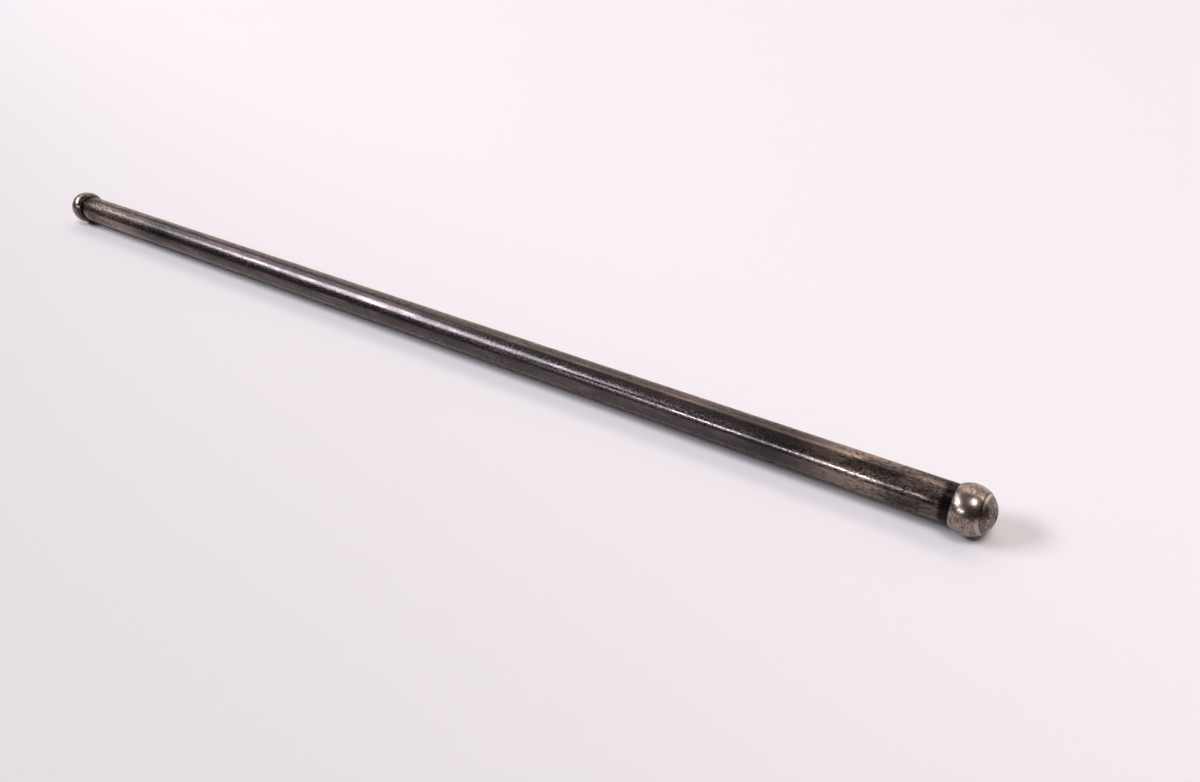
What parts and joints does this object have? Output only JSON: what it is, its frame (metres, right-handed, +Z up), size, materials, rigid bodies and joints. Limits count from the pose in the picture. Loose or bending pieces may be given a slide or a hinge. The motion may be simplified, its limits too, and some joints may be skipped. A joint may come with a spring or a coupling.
{
  "type": "engine pushrod",
  "caption": "Straight tubular engine pushrod with a hardened ball end pressed into each mouth, passing the lift of a tappet on to a rocker arm.",
  "frame": {"origin": "on the rod's axis, halfway between the ball centres", "axes": "+X along the rod to the rocker end, +Z up, with the rod lying level"},
  "size_m": [0.2488, 0.008, 0.008],
  "materials": {
    "tube_steel": "worn black oxide on drawn tube, scuffed along its length",
    "ball_steel": "ground and run-in hardened steel, stained and lightly pitted"
  },
  "bodies": {
    "root": {"push_tube": "tube_steel", "rocker_ball_end": "ball_steel", "tappet_ball_end": "ball_steel"}
  },
  "joints": []
}
